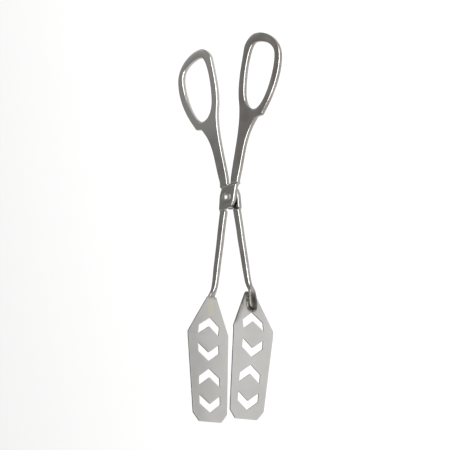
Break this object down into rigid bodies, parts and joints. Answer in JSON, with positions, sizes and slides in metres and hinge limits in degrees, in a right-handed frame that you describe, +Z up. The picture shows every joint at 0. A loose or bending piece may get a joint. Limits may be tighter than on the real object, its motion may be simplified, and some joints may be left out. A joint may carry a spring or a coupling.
{
  "type": "scissor serving tongs",
  "caption": "Steel scissor tongs with finger loops, a riveted crossing and wide slotted sheet blades for lifting flat food.",
  "frame": {"origin": "bottom centre of the whole object as it lies on a table, at the opening it is shown at", "axes": "+Y along the tongs towards the finger loops, +X across them in the opening direction, +Z up off the table. The levers' plane is tipped 5.08 degrees about X, because the blades are deeper than the handles"},
  "size_m": [0.0808, 0.229, 0.0387],
  "materials": {
    "lever_steel": "ground and polished stainless forging, fine lengthwise grain",
    "blade_steel": "satin stainless sheet",
    "rivet_steel": "peened and buffed",
    "washer_steel": "plain"
  },
  "bodies": {
    "back_half": {"lever_back": "lever_steel", "blade_right": "blade_steel", "pivot_rivet": "rivet_steel", "pivot_washer": "washer_steel"},
    "front_half": {"lever_front": "lever_steel", "blade_left": "blade_steel"}
  },
  "joints": [
    {"name": "pivot", "type": "hinge", "parent": "back_half", "child": "front_half", "pos_m": [0, 0.01695, 0.01018], "axis": [0, 0.0885, 0.9961], "range_deg": [-40, 10.9]}
  ]
}
